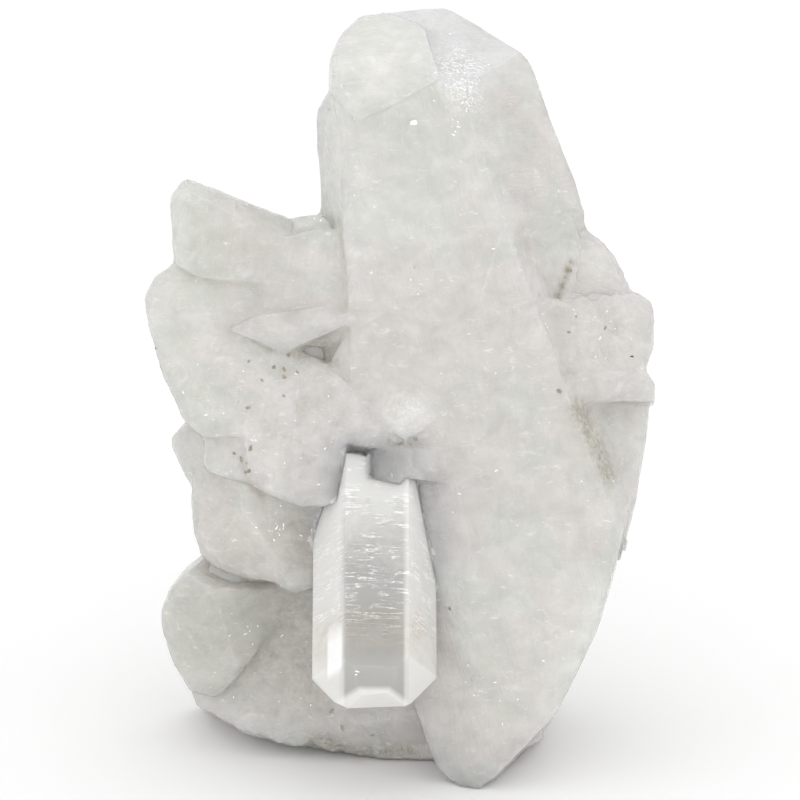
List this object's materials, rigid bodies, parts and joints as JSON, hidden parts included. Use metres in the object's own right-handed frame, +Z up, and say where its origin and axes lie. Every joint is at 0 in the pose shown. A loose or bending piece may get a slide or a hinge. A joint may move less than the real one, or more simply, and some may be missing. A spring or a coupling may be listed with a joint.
{
  "type": "quartz crystal cluster",
  "caption": "Natural milky quartz cluster with a broad upright crystal, a clear crystal on its front and smaller crystals round them, cut flat below so that it stands as a display piece.",
  "frame": {"origin": "middle of the cluster's box, on the plane of the flat cut foot", "axes": "+Z up along the height of the standing cluster, +Y away from the side that shows the clear crystal, +X to the right of that side"},
  "size_m": [0.0722, 0.0648, 0.101],
  "materials": {
    "milky_quartz": "translucent milky quartz with natural glossy crystal faces, growth ridges and rough broken faces",
    "clear_quartz": "clear rock crystal with glossy natural faces, fine growth steps and pale veils inside",
    "iron_stain": "matt brown iron staining and dirt in the crevices"
  },
  "bodies": {
    "root": {"crystal_cluster": "milky_quartz"}
  },
  "joints": []
}
